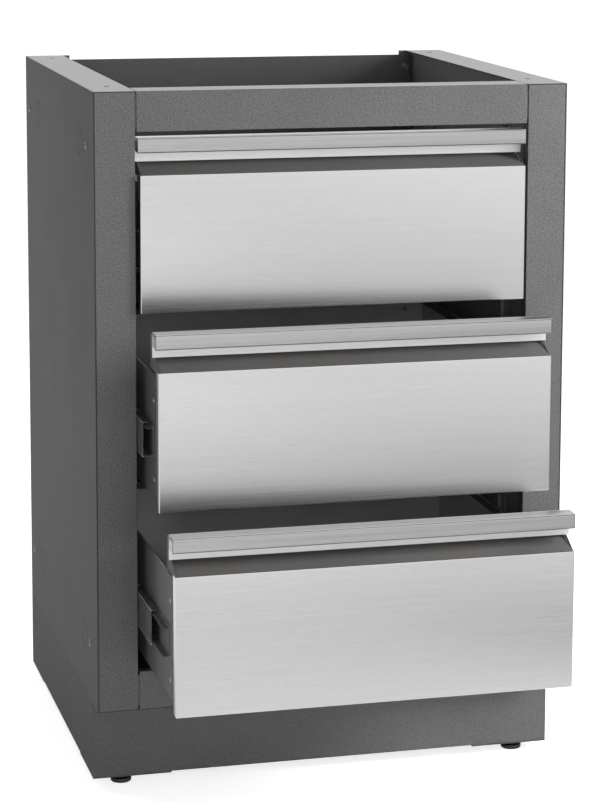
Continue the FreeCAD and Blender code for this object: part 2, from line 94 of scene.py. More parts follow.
def combine(tree, operation, *values):
    """The result of a maths node; each value is a number or another node's output."""
    made = add(tree, "ShaderNodeMath", operation=operation)
    for slot, value in enumerate(values):
        if isinstance(value, float):
            made.inputs[slot].default_value = value
        else:
            tree.links.new(value, made.inputs[slot])
    return made.outputs[0]


def noise(tree, frequencies, detail, roughness=0.5):
    """Noise with a frequency for each axis, in waves per metre."""
    place = add(tree, "ShaderNodeTexCoord")
    turn = add(tree, "ShaderNodeMapping", {"Scale": frequencies})
    made = add(tree, "ShaderNodeTexNoise",
               {"Scale": 1.0, "Detail": detail, "Roughness": roughness})
    tree.links.new(place.outputs["Object"], turn.inputs["Vector"])
    tree.links.new(turn.outputs["Vector"], made.inputs["Vector"])
    return made.outputs["Fac"]


def ramp(tree, source, low, high, start=NOISE_LOW, end=NOISE_HIGH):
    """Turns what lies between start and end into what lies between low and high."""
    made = add(tree, "ShaderNodeMapRange",
               {"From Min": start, "From Max": end, "To Min": low, "To Max": high})
    tree.links.new(source, made.inputs["Value"])
    return made.outputs["Result"]


def separate(tree, vector):
    split = add(tree, "ShaderNodeSeparateXYZ")
    tree.links.new(vector, split.inputs[0])
    return split.outputs


def shade(tree, factor, colour):
    """A colour times a number."""
    made = add(tree, "ShaderNodeMix", {0: 1.0, 6: (*colour, 1.0)}, data_type="RGBA",
               blend_type="MULTIPLY")
    tree.links.new(factor, made.inputs[7])
    return made.outputs[2]


def relief(tree, shader, height, depth, edge=0.0):
    """A bump, over edges that a radius makes softer."""
    bump = add(tree, "ShaderNodeBump", {"Strength": 1.0, "Distance": depth})
    tree.links.new(height, bump.inputs["Height"])
    if edge:
        soft = add(tree, "ShaderNodeBevel", {"Radius": edge}, samples=EDGE_SAMPLES)
        tree.links.new(soft.outputs["Normal"], bump.inputs["Normal"])
    tree.links.new(bump.outputs["Normal"], shader.inputs["Normal"])


# Materials.

GRAIN_DETAIL, GRAIN_ROUGHNESS = 1.5, 0.6
CLOUD_FREQUENCY, CLOUD_DETAIL = 9.0, 2.0
CLOUD_TONES = (0.94, 1.06)
COAT_EDGE = 0.0012
ALONG_BRUSHING = 0.25
LINES, LINE_ROUGHNESS = (5.0, 1600.0, 1600.0), 0.7
STREAKS, STREAK_ROUGHNESS = (2.5, 240.0, 240.0), 0.6
STEEL_DETAIL = 3.0
LINE_DEPTH, LINE_SPREAD = 0.00001, 0.04
MOTTLE_FREQUENCY, MOTTLE_DEPTH, MOTTLE_SPREAD = 140.0, 0.00002, 0.08
PLATED_EDGE = 0.0006


def new_material(name, colour, roughness, metallic=0.0, **sockets):
    made = bpy.data.materials.new(name)
    made.use_nodes = True
    tree = made.node_tree
    shader = tree.nodes["Principled BSDF"]
    shader.inputs["Base Color"].default_value = (*colour, 1.0)
    shader.inputs["Roughness"].default_value = roughness
    shader.inputs["Metallic"].default_value = metallic
    for key, value in sockets.items():
        shader.inputs[key.replace("_", " ")].default_value = value
    return made, tree, shader


def coat(name, colour, roughness=0.55, grain=700.0, contrast=0.1, depth=0.00004,
         level_gloss=0.0, side_dulling=0.0, side_smoothing=0.0,
         outside=0.0, outside_tone=1.0, **sockets):
    """Powder coat with a fine hammered grain.

    Level faces are less rough by level_gloss. Side faces are rougher by side_dulling and lose the
    share side_smoothing of their grain. Further than outside from the middle of the unit, the
    colour is multiplied by outside_tone, which paints shade on the outer faces.
    """
    made, tree, shader = new_material(name, colour, roughness, **sockets)
    grains = noise(tree, [grain] * 3, GRAIN_DETAIL, GRAIN_ROUGHNESS)
    cloud = noise(tree, [CLOUD_FREQUENCY] * 3, CLOUD_DETAIL)
    fine = ramp(tree, grains, -contrast, contrast)
    if level_gloss:
        normal = separate(tree, add(tree, "ShaderNodeNewGeometry").outputs["Normal"])
        level = combine(tree, "ABSOLUTE", normal["Z"])
        side = combine(tree, "ABSOLUTE", normal["X"])
        change = combine(tree, "SUBTRACT", combine(tree, "MULTIPLY", side, side_dulling),
                         combine(tree, "MULTIPLY", level, level_gloss))
        rough = combine(tree, "ADD", change, roughness)
        tree.links.new(rough, shader.inputs["Roughness"])
        lost = combine(tree, "MULTIPLY", side, side_smoothing)
        fine = combine(tree, "MULTIPLY", fine, combine(tree, "SUBTRACT", 1.0, lost))
    tone = combine(tree, "MULTIPLY", combine(tree, "ADD", fine, 1.0),
                   ramp(tree, cloud, *CLOUD_TONES))
    # Painted shade on the faces further out than outside.
    if outside:
        place = separate(tree, add(tree, "ShaderNodeTexCoord").outputs["Object"])
        beyond = combine(tree, "GREATER_THAN", combine(tree, "ABSOLUTE", place["X"]), outside)
        tone = combine(tree, "MULTIPLY", tone, ramp(tree, beyond, 1.0, outside_tone, 0.0, 1.0))
    tree.links.new(shade(tree, tone, colour), shader.inputs["Base Color"])
    relief(tree, shader, grains, depth, COAT_EDGE)
    return made


def brushed(name, colour, contrast, roughness=0.25, anisotropy=0.5, metallic=1.0):
    """Steel brushed along X, so that it spreads a reflection across the lines."""
    made, tree, shader = new_material(name, colour, roughness, metallic, Anisotropic=anisotropy,
                                      Anisotropic_Rotation=ALONG_BRUSHING)
    lines = noise(tree, LINES, STEEL_DETAIL, LINE_ROUGHNESS)
    streaks = noise(tree, STREAKS, STEEL_DETAIL, STREAK_ROUGHNESS)
    tone = combine(tree, "MULTIPLY", ramp(tree, streaks, 1.0 - contrast, 1.0 + contrast),
                   ramp(tree, lines, 1.0 - contrast, 1.0 + contrast))
    tree.links.new(shade(tree, tone, colour), shader.inputs["Base Color"])
    rough = ramp(tree, lines, roughness - LINE_SPREAD, roughness + LINE_SPREAD)
    tree.links.new(rough, shader.inputs["Roughness"])
    relief(tree, shader, lines, LINE_DEPTH)
    return made


def plated(name, colour, roughness, spots=0.12, metallic=1.0):
    """Zinc plated steel with a faint mottle."""
    made, tree, shader = new_material(name, colour, roughness, metallic)
    mottle = noise(tree, [MOTTLE_FREQUENCY] * 3, STEEL_DETAIL)
    tone = ramp(tree, mottle, 1.0 - spots, 1.0 + spots)
    tree.links.new(shade(tree, tone, colour), shader.inputs["Base Color"])
    rough = ramp(tree, mottle, roughness - MOTTLE_SPREAD, roughness + MOTTLE_SPREAD)
    tree.links.new(rough, shader.inputs["Roughness"])
    relief(tree, shader, mottle, MOTTLE_DEPTH, PLATED_EDGE)
    return made


COATS = {
    "charcoal_coat": {
        "colour": (0.0882, 0.0888, 0.0905), "roughness": 0.42, "grain": 480.0, "contrast": 0.34,
        "depth": 0.00014, "level_gloss": 0.13, "side_dulling": 0.3, "side_smoothing": 0.85,
        "Specular_Tint": (0.95, 0.965, 1.0, 1.0)},
    "plinth_coat": {
        "colour": (0.089, 0.089, 0.089), "roughness": 0.58, "grain": 480.0, "contrast": 0.2,
        "depth": 0.0001, "level_gloss": 0.13, "side_dulling": 0.2, "side_smoothing": 0.7},
    "inner_coat": {"colour": (0.064, 0.064, 0.064)},
    # A paler copy of the inner coat: painted light that lifts the shade inside the carcass.
    "liner_coat": {"colour": (0.18, 0.18, 0.18)},
    "pocket_coat": {"colour": (0.09, 0.087, 0.084)},
    # The tray is painted light inside, far paler than the other coats to lift the shade in the
    # drawers, and painted shade on its outer faces.
    "tray_coat": {
        "colour": (0.4, 0.4, 0.4), "roughness": 0.5, "contrast": 0.06,
        "outside": 0.2418, "outside_tone": 0.36},
    # Dark strips that paint the shade in folds, gaps and slots.
    "seam_shadow": {
        "colour": (0.022, 0.022, 0.023), "roughness": 0.6, "grain": 500.0, "contrast": 0.2,
        "depth": 0.00002},
}
BRUSHED = {
    "brushed_front": {"colour": (0.69, 0.688, 0.686), "contrast": 0.018},
    # A darker copy of the front's steel: the lower colour is painted shade for the face's darker
    # reflection; the stronger brushing is its own.
    "pull_face": {
        "colour": (0.51, 0.507, 0.505), "contrast": 0.09, "roughness": 0.3, "anisotropy": 0.6},
    # Near white and mostly diffuse: a painted reflection on the steel ends of the finger pockets.
    "pocket_steel": {
        "colour": (0.95, 0.95, 0.95), "contrast": 0.01, "roughness": 0.5, "anisotropy": 0.2,
        "metallic": 0.3},
    # A lighter, partly diffuse copy of the steel, as painted highlight on the pull's leg and end
    # caps and on the slides' rolled corners.
    "satin_steel": {
        "colour": (0.8, 0.8, 0.8), "contrast": 0.02, "roughness": 0.45, "anisotropy": 0.3,
        "metallic": 0.85},
}
PLATED = {
    "slide_steel": {
        "colour": (0.13, 0.133, 0.137), "roughness": 0.34, "spots": 0.06, "metallic": 0.4},
    "zinc": {"colour": (0.12, 0.12, 0.125), "roughness": 0.42},
    "bolt_steel": {"colour": (0.2, 0.2, 0.21), "roughness": 0.3},
    "fastener_steel": {"colour": (0.42, 0.42, 0.43), "roughness": 0.28},
    "foot_steel": {"colour": (0.07, 0.07, 0.07), "roughness": 0.45},
}
MATERIALS = {name: kind(name, **settings)
             for kind, table in ((coat, COATS), (brushed, BRUSHED), (plated, PLATED))
             for name, settings in table.items()}

# Nodes whose finish isn't that of their slot, by how their names start. The liners and slide posts
# get a paler coat as painted light.
OWN_FINISHES = {
    "side_liner": "liner_coat", "slide_posts": "liner_coat", "plinth_": "plinth_coat"}


def finish_nodes():
    for part in frame["record"]["subparts"]:
        materials = nodes[part["node"]].data.materials
        materials.clear()
        own = [finish for start, finish in OWN_FINISHES.items() if part["node"].startswith(start)]
        materials.append(MATERIALS[own[0] if own else part["material_slot"]])


# Shapes. Sizes are millimetres in the CAD's frame. A form is a list of points and a list of faces.

SHARP_ANGLE = 30.0
BEND_STEPS = 5
AXES = {
    "x": lambda a, b, t: (t, a, b),
    "y": lambda a, b, t: (a, t, b),
    "z": lambda a, b, t: (a, b, t),
}


def moved(outline, first, second):
    return [(a + first, b + second) for a, b in outline]


def fold(path, thickness, radius):
    """The outline of a bent sheet, from its centre line and the radius of its bends."""
    line = []
    for index, spot in enumerate(path):
        here = Vector(spot)
        if index in (0, len(path) - 1):
            along = Vector(path[1]) - here if index == 0 else here - Vector(path[-2])
            line.append((here, along.normalized()))
            continue
        before = (here - Vector(path[index - 1])).normalized()
        after = (Vector(path[index + 1]) - here).normalized()
        turn = math.atan2(before.x * after.y - before.y * after.x, before.dot(after))
        start = here - before * radius * math.tan(abs(turn) / 2)
        centre = start + Vector((-before.y, before.x)) * math.copysign(radius, turn)
        for step in range(BEND_STEPS + 1):
            swing = Matrix.Rotation(turn * step / BEND_STEPS, 2)
            line.append((centre + swing @ (start - centre), swing @ before))
    half = thickness / 2
    sides = [(spot, Vector((-along.y, along.x)) * half) for spot, along in line]
    return ([tuple(spot + out) for spot, out in sides]
            + [tuple(spot - out) for spot, out in reversed(sides)])


def rectangle(low, high):
    return [low, (high[0], low[1]), high, (low[0], high[1])]


def rounded(low, high, radius, steps=5):
    """A rectangle with round corners."""
    outline = []
    for corner in range(4):
        right, top = corner in (0, 3), corner in (0, 1)
        centre = (high[0] - radius if right else low[0] + radius,
                  high[1] - radius if top else low[1] + radius)
        for step in range(steps + 1):
            angle = math.radians(90.0 * (corner + step / steps))
            outline.append((centre[0] + radius * math.cos(angle),
                            centre[1] + radius * math.sin(angle)))
    return outline


def hull(rings):
    """A skin over rings of points, closed at both ends."""
    count = len(rings[0])
    points = [point for ring in rings for point in ring]
    faces = [tuple(range(count)), tuple(range(len(points) - count, len(points)))]
    for ring in range(len(rings) - 1):
        for spot in range(count):
            a, b = ring * count + spot, ring * count + (spot + 1) % count
            faces.append((a, b, b + count, a + count))
    return points, faces


def prism(outline, axis, low, high):
    """An outline drawn out along an axis."""
    return hull([[AXES[axis](a, b, t) for a, b in outline] for t in (low, high)])


def lathe(profile, place, way, sides=24):
    """Rings round an axis, from radii and distances along it.

    A ring with a third value is a polygon with that many flats, and its radius is the one inside.
    """
    turn = Vector(way).to_track_quat("Z", "Y")
    rings = []
    for radius, along, *flats in profile:
        ring = []
        for side in range(sides):
            angle = 2 * math.pi * side / sides
            reach = radius
            if flats:
                sector = 2 * math.pi / flats[0]
                reach = radius / math.cos((angle + sector / 2) % sector - sector / 2)
            spot = turn @ Vector((reach * math.cos(angle), reach * math.sin(angle), along))
            ring.append(tuple(Vector(place) + spot))
        rings.append(ring)
    return hull(rings)


def mirrored(forms):
    """The same forms on the other side of the unit."""
    return [([(-x, y, z) for x, y, z in points], faces) for points, faces in forms]


def both(forms):
    return forms + mirrored(forms)


def make(name, body, finish, forms, replaces=()):
    """One piece out of forms, which rides on a body and replaces some of its nodes."""
    work = bmesh.new()
    for points, faces in forms:
        corners = [work.verts.new([value * MM for value in point]) for point in points]
        for face in faces:
            work.faces.new([corners[corner] for corner in face])
    bmesh.ops.recalc_face_normals(work, faces=work.faces)
    mesh = bpy.data.meshes.new(name)
    work.to_mesh(mesh)
    work.free()
    mesh.shade_smooth()
    mesh.set_sharp_from_angle(angle=math.radians(SHARP_ANGLE))
    mesh.materials.append(MATERIALS[finish])
    piece = bpy.data.objects.new(name, mesh)
    bpy.context.scene.collection.objects.link(piece)
    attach(piece, body)
    if replaces:
        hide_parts(*replaces)


# Drawers: the Y of the pull's face, the Z of the panel's lower edge, how far the drawer is out.

FRONTS = {
    "top": (-173.75, 622.5, 0.0),
    "middle": (-283.75, 397.0, 110.0),
    "bottom": (-381.75, 171.5, 208.0),
}
SIDES = (("right", list), ("left", mirrored))

# Outlines in Y and Z, from the pull's face and the panel's lower edge.
FRONT_SHEET = 0.8
PULL_FACE, PULL_FACE_BEND = [(3.6, 199.4), (0.4, 199.4), (0.4, 217.6), (19.2, 217.6)], 1.1
PULL_LEG, PULL_LEG_BEND = [(19.5, 217.6), (22.6, 217.6), (22.6, 186.5)], 1.2
PULL_END, PULL_END_CORNER = ((1.1, 200.1), (21.9, 212.6)), 1.0
PULL_END_PLACES = (1.5, 0.3)
POCKET_END = [(1.4, 173.2), (25.4, 185.0), (26.0, 189.7), (27.0, 189.7), (27.0, 208.4),
              (47.7, 208.4), (47.7, 173.2)]
POCKET_END_PLACES = (0.5, 0.1)
POCKET_FLOOR = [(-4.2, 172.4), (47.3, 191.0), (47.3, 208.2)]
POCKET_SHEET, POCKET_BEND, POCKET_PLAY = 0.7, 3.0, 0.6
PULL_HALF = 250.8
PANEL_HALF = 248.8
POCKET_HALF = 246.6

# The painted shade lines round a pull's face, in the gaps where it meets its fold and leg: how far
# they stand out, and how deep and wide they are.
EDGE_PROUD, EDGE_DEPTH, EDGE_WIDTH, EDGE_CORNER = 0.06, 0.3, 0.5, 0.05
EDGE_HEIGHTS = (199.7, 216.4)
EDGE_PAST_END = 0.02

# The pan of a panel: its height, its bends and corners, and where its faces and rear edge are.
PANEL_HEIGHT = 172.0
PANEL_BEND, PANEL_CORNER, PANEL_BEND_STEPS, PANEL_CORNER_STEPS = 0.9, 1.1, 4, 3
PANEL_FACE, PANEL_INNER_FACE, PANEL_REAR = -5.5, -4.5, 9.5

# The hem of a tray: centre lines of its sides in X and Z and of its back in Y and Z.
HEM_SHEET, HEM_BEND = 0.8, 0.6
SIDE_HEM = [(239.4, 149.0), (239.4, 156.9), (240.9, 156.9)]
BACK_HEM = [(531.3, 149.0), (531.3, 156.9), (532.8, 156.9)]
SIDE_HEM_START, SIDE_HEM_END = 52.0, 530.6
BACK_HEM_HALF = 240.0


def make_handle(drawer):
    """A brushed face that turns over the top, darkened as painted shade; a back leg with closed
    ends in a lighter steel, a painted highlight; painted shade lines round the face.
    """
    y, z, _ = FRONTS[drawer]
    body = "drawer_" + drawer
    face = moved(fold(PULL_FACE, FRONT_SHEET, PULL_FACE_BEND), y, z)
    make("pull_face_" + drawer, body, "pull_face", [prism(face, "x", -PULL_HALF, PULL_HALF)],
         ["drawer_%s_handle" % drawer])
    leg = moved(fold(PULL_LEG, FRONT_SHEET, PULL_LEG_BEND), y, z)
    end = moved(rounded(*PULL_END, PULL_END_CORNER), y, z)
    forms = [prism(leg, "x", -PULL_HALF, PULL_HALF)]
    forms += both([prism(end, "x", *[PULL_HALF - inset for inset in PULL_END_PLACES])])
    make("pull_leg_" + drawer, body, "satin_steel", forms)
    near = y - EDGE_PROUD
    far = near + EDGE_DEPTH
    lines = []
    for low in EDGE_HEIGHTS:
        strip = rounded((near, z + low), (far, z + low + EDGE_WIDTH), EDGE_CORNER, 1)
        lines.append(prism(strip, "x", -PULL_HALF, PULL_HALF))
    low, high = EDGE_HEIGHTS[0], EDGE_HEIGHTS[1] + EDGE_WIDTH
    upright = rounded((near, z + low), (far, z + high), EDGE_CORNER, 1)
    lines += both([prism(upright, "x", PULL_HALF - EDGE_WIDTH, PULL_HALF + EDGE_PAST_END)])
    # Painted shade in the gaps round the face.
    make("pull_edge_painted_shade_" + drawer, body, "seam_shadow", lines)


def make_panel(drawer):
    """A pan with bent edges and a hollow back."""
    y, z, _ = FRONTS[drawer]
    profile = [(FRONT_SHEET, PANEL_INNER_FACE), (FRONT_SHEET, PANEL_REAR), (0.0, PANEL_REAR)]
    for step in range(PANEL_BEND_STEPS + 1):
        angle = math.radians(90.0 / PANEL_BEND_STEPS * step)
        profile.append((PANEL_BEND * (1 - math.cos(angle)),
                        PANEL_FACE + PANEL_BEND * (1 - math.sin(angle))))
    rings = []
    for inset, depth in profile:
        outline = rounded((inset - PANEL_HALF, inset), (PANEL_HALF - inset, PANEL_HEIGHT - inset),
                          PANEL_CORNER - inset / 2, PANEL_CORNER_STEPS)
        rings.append([(a, y + depth, z + b) for a, b in outline])
    make("front_panel_" + drawer, "drawer_" + drawer, "brushed_front", [hull(rings)],
         ["drawer_%s_panel" % drawer])


def make_pocket(drawer):
    """End plates inside the finger pocket, near white as a painted reflection, and its floor,
    which rises to the back.
    """
    y, z, _ = FRONTS[drawer]
    body = "drawer_" + drawer
    places = [POCKET_HALF - inset for inset in POCKET_END_PLACES]
    make("pocket_ends_" + drawer, body, "pocket_steel",
         both([prism(moved(POCKET_END, y, z), "x", *places)]))
    rise = moved(fold(POCKET_FLOOR, POCKET_SHEET, POCKET_BEND), y, z)
    make("pocket_floor_" + drawer, body, "pocket_coat",
         [prism(rise, "x", POCKET_PLAY - POCKET_HALF, POCKET_HALF - POCKET_PLAY)])


def make_tray_rim(drawer):
    """The hem along the top of a tray's sides and back, kept darker than the tray as painted shade
    that dims the highlight along its edge.
    """
    y, z, _ = FRONTS[drawer]
    side = moved(fold(SIDE_HEM, HEM_SHEET, HEM_BEND), 0.0, z)
    back = moved(fold(BACK_HEM, HEM_SHEET, HEM_BEND), y, z)
    forms = both([prism(side, "y", y + SIDE_HEM_START, y + SIDE_HEM_END)])
    forms.append(prism(back, "x", -BACK_HEM_HALF, BACK_HEM_HALF))
    make("tray_rim_" + drawer, "drawer_" + drawer, "inner_coat", forms)


# Telescopic slides: rolled sections, with rows of balls in cages between them.

SLIDE_HEIGHT = 74.0
SLIDE_START, SLIDE_LENGTH = -151.75, 500.0
RUNNER_START, RUNNER_LENGTH = 60.0, 460.0
SLIDE_SHEET = 1.2

# Each member's centre line in X and Z from the slide's middle, the radius of its bends, and where
# the painted highlight on its rolled corner lies: the outer side, and the height from the middle.
MEMBERS = {
    "fixed": ([(246.0, 23.6), (246.0, 25.4), (254.4, 25.4), (254.4, -25.4), (246.0, -25.4),
               (246.0, -23.6)], 1.2, (254.1, 25.35)),
    "carrier": ([(246.0, 21.4), (252.7, 21.4), (252.7, -21.4), (246.0, -21.4)], 1.6,
                (252.3, 21.35)),
    "runner": ([(251.5, 17.4), (242.9, 17.4), (242.9, -17.4), (251.5, -17.4)], 1.6,
               (242.6, 17.35)),
}
# The painted highlight strips along the rolled corners: width, half height, corner radius, and how
# far they reach before the member's start.
GLINT_WIDTH, GLINT_HALF, GLINT_CORNER, GLINT_PROUD = 0.8, 0.6, 0.3, 0.3

# Rows of balls: the height from the slide's middle, and both ends from the carrier's end.
BALL_ROWS = ((23.4, 262.0, 478.0), (19.4, 45.0, 238.0))
BALL_PROFILE = [(0.25, -1.3), (0.95, -0.9), (1.3, 0.0), (0.95, 0.9), (0.25, 1.3)]
BALL_X, BALL_GAP, BALL_SIDES = 249.2, 7.2, 8
CAGE_LOW, CAGE_HIGH, CAGE_HALF, CAGE_CORNER = 247.6, 250.8, 0.35, 0.3
CAGE_BEFORE, CAGE_SHORT = 6, 2


def ball_row(z, start, end):
    count = int((end - start) / BALL_GAP)
    return [lathe(BALL_PROFILE, (BALL_X, start + BALL_GAP * ball, z), (0, 0, 1), BALL_SIDES)
            for ball in range(count)]


def make_slides(drawer):
    y, z, opened = FRONTS[drawer]
    centre = z + SLIDE_HEIGHT
    carried = SLIDE_START - opened / 2
    places = {
        "fixed": ("chassis", SLIDE_START, SLIDE_LENGTH),
        "carrier": ("carrier_" + drawer, carried, SLIDE_LENGTH),
        "runner": ("drawer_" + drawer, y + RUNNER_START, RUNNER_LENGTH),
    }
    for side, way in SIDES:
        for member, (path, bend, (outer, height)) in MEMBERS.items():
            body, start, length = places[member]
            node = "slide_%s_%s_%s" % (drawer, member, side)
            # Painted highlight along both rolled corners.
            glints = []
            for up in (-1, 1):
                corner = centre + up * height
                glint = rounded((outer, corner - GLINT_HALF),
                               (outer + GLINT_WIDTH, corner + GLINT_HALF), GLINT_CORNER, 2)
                glints.append(prism(glint, "y", start - GLINT_PROUD, start + length))
            make(node + "_painted_highlight", body, "satin_steel", way(glints))
            section = moved(fold(path, SLIDE_SHEET, bend), 0.0, centre)
            make(node + "_rolled", body, "slide_steel",
                 way([prism(section, "y", start, start + length)]), [node])
        balls, strips = [], []
        for up in (-1, 1):
            for height, first, last in BALL_ROWS:
                here = centre + up * height
                balls += ball_row(here, carried + first, carried + last)
                strip = rounded((CAGE_LOW, here - CAGE_HALF), (CAGE_HIGH, here + CAGE_HALF),
                                CAGE_CORNER, 2)
                strips.append(prism(strip, "y", carried + first - CAGE_BEFORE,
                                    carried + last - CAGE_SHORT))
        make("balls_%s_%s" % (drawer, side), "carrier_" + drawer, "fastener_steel", way(balls))
        make("ball_cages_%s_%s" % (drawer, side), "carrier_" + drawer, "zinc", way(strips))


# Fasteners and feet. Sizes of a bolt or rivet are radii, lengths and the height of its head.

HEAD_STEPS = 5
SIDE_BOLT = {"shank": 3.0, "length": 7.5, "head": 5.0, "height": 2.0, "socket": 1.9}
FRONT_SCREW = {"shank": 2.0, "length": 5.0, "head": 3.5, "height": 1.2, "socket": 1.2}
RIVET = {"shank": 2.0, "length": 2.4, "head": 3.5, "height": 1.2}
BACK_RIVET = {"shank": 1.6, "length": 1.0, "head": 2.6, "height": 1.0}

# Where they are. Rows are along Y; those of a drawer's fasteners, and their heights, count from
# the pull's face and the panel's lower edge.
SIDE_X = 305.0
LEVELS = (191.0, 827.0)
BOLT_ROWS = (-120.75, 350.25)
SCREW_X, SCREW_Y, SCREW_HEIGHTS = 242.3, 56.2, (28.0, 127.0)
RUNNER_RIVET_X, RUNNER_RIVET_ROWS = 241.1, (40.0, 230.0, 420.0)
BACK_RIVET_X, BACK_RIVET_Y, BACK_RIVET_HEIGHT = (-214.5, 214.5), 532.9, 140.8
SLIDE_RIVET_X, SLIDE_RIVET_ROWS = 256.2, (-47.75, 272.25)

# The outline of a foot, as radii and heights, with a hexagonal waist under its thread.
FOOT_X = 265.0
FOOT_ROWS = (("front", -106.75), ("rear", 363.25))
FOOT_PAD = [(11.0, 0.0), (12.6, 0.3), (13.4, 1.2), (13.5, 2.2), (13.5, 4.6), (13.0, 5.6),
            (11.8, 6.0), (9.0, 6.2), (8.4, 6.6, 6), (8.4, 11.8, 6), (7.6, 12.5), (4.4, 12.7)]
THREAD = [(5.0, 0.0), (5.0, 0.2), (4.2, 0.75), (4.2, 0.9)]
THREAD_START, THREAD_END, THREAD_PITCH = 13.2, 59.0, 1.5
THREAD_TIP = [(4.9, 59.6), (3.9, 60.7)]


def bolt(place, way, shank, length, head, height, socket):
    """A shank from the place along the way, and behind the place a domed head with a socket."""
    chamfer, rim, edge = 0.4, 0.15, 0.3
    lip, taper, depth = 1.25, 0.96, 0.6
    profile = [(shank - chamfer, length), (shank, length - chamfer), (shank, 0.0),
               (head - rim, 0.0), (head, -rim)]
    for step in range(1, HEAD_STEPS + 1):
        angle = math.radians(90.0 / HEAD_STEPS * step)
        profile.append((head - (head - socket * lip) * (1 - math.cos(angle)),
                        -edge - (height - edge) * math.sin(angle)))
    profile += [(socket, -height, 6), (socket * taper, -height * (1.0 - depth), 6)]
    return lathe(profile, place, way)


def rivet(place, way, shank, length, head, height):
    """A shank from the place along the way, and behind the place a domed head."""
    chamfer, edge, last = 0.3, 0.25, 85.0
    profile = [(shank - chamfer, length), (shank, length - chamfer), (shank, 0.0), (head, 0.0),
               (head, -edge)]
    for step in range(1, HEAD_STEPS + 1):
        angle = math.radians(last / HEAD_STEPS * step)
        profile.append((head * math.cos(angle), -edge - (height - edge) * math.sin(angle)))
    return lathe(profile, place, way)


def make_fasteners():
    inward, outward, backward = (-1, 0, 0), (1, 0, 0), (0, 1, 0)
    bolts = [bolt((SIDE_X, y, z), inward, **SIDE_BOLT) for y in BOLT_ROWS for z in LEVELS]
    make("side_bolt_set", "chassis", "bolt_steel", both(bolts), ["side_bolts"])
    for drawer, (y, z, _) in FRONTS.items():
        body = "drawer_" + drawer
        held = [bolt((SCREW_X, y + SCREW_Y, z + high), inward, **FRONT_SCREW)
                for high in SCREW_HEIGHTS]
        held += [rivet((RUNNER_RIVET_X, y + RUNNER_START + along, z + SLIDE_HEIGHT), outward,
                       **RIVET) for along in RUNNER_RIVET_ROWS]
        make("front_screws_" + drawer, body, "fastener_steel", both(held),
             ["drawer_%s_fasteners" % drawer])
        studs = [rivet((x, y + BACK_RIVET_Y, z + BACK_RIVET_HEIGHT), backward, **BACK_RIVET)
                 for x in BACK_RIVET_X]
        make("tray_back_rivets_" + drawer, body, "fastener_steel", studs)
    pins = [rivet((SLIDE_RIVET_X, y, z + SLIDE_HEIGHT), inward, **RIVET)
            for _, z, _ in FRONTS.values() for y in SLIDE_RIVET_ROWS]
    make("slide_rivet_set", "chassis", "fastener_steel", both(pins), ["slide_rivets"])


def make_feet():
    profile = list(FOOT_PAD)
    along = THREAD_START
    while along < THREAD_END:
        profile += moved(THREAD, 0.0, along)
        along += THREAD_PITCH
    profile += THREAD_TIP
    for end, y in FOOT_ROWS:
        for side, way in SIDES:
            node = "foot_%s_%s" % (end, side)
            make(node + "_threaded", "level_%s_%s" % (end, side), "foot_steel",
                 way([lathe(profile, (FOOT_X, y, 0.0), (0, 0, 1))]), [node])


# Painted shade on the carcass: dark strips where its folds, its foot and its knock-out slots lie
# in shade. Where its faces are:

CARCASS_FOOT, CARCASS_TOP, CARCASS_FRONT = 114.0, 898.0, -172.75
STILE_INSIDE = 254.5

# The painted shade lines on the front, and how far they stand out of it and reach into it.
FRONT_PROUD, FRONT_SINK = 0.08, 0.4
FOLD_PROUD, FOLD_WIDTH, FOLD_DEPTH = 0.05, 1.7, 1.2
TOP_LINE_LOW, TOP_LINE_HIGH = 1.2, 0.1
FRONT_FOOT_LOW, FRONT_FOOT_HIGH = 0.05, 0.95

# The painted shade line along the foot of a side: half its width, both ends, and its X from the
# side's face.
SIDE_FOOT_HALF, SIDE_FOOT_START, SIDE_FOOT_END = 0.6, -171.75, 387.0
SIDE_FOOT_SINK, SIDE_FOOT_PROUD = 0.4, 0.1

# The painted shade in the slots of a knock-out: radii and angles of one of the four, and its X
# from the side's face.
KNOCKOUT_ROWS = (-71.75, 277.25)
SLOT_INSIDE, SLOT_OUTSIDE = 16.8, 19.0
SLOT_START, SLOT_STEP, SLOT_STEPS = 10.0, 7.0, 10
SLOT_SINK, SLOT_PROUD = 0.1, 0.15


